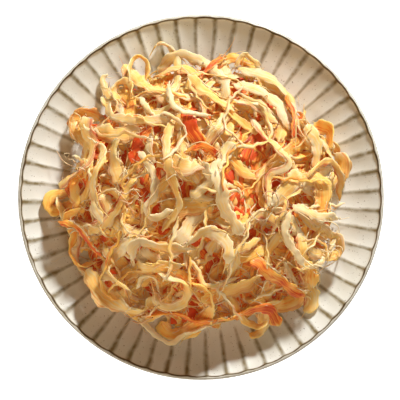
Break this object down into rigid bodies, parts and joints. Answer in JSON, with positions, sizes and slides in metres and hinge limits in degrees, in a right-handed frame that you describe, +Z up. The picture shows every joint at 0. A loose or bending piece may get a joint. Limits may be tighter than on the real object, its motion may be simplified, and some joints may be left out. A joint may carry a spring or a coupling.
{
  "type": "plate of shredded dried squid",
  "caption": "Loose heap of shredded dried squid, served on a shallow round plate with a fluted wall.",
  "frame": {"origin": "centre of the plate's foot, on the table", "axes": "+Z up; +Y towards the top of the picture, +X towards its right"},
  "size_m": [0.2, 0.2, 0.0705],
  "materials": {
    "plate": "glossy glaze, speckled",
    "squid_shreds": "dry, slightly waxy"
  },
  "bodies": {
    "root": {"plate": "plate", "squid_shreds": "squid_shreds"}
  },
  "joints": []
}
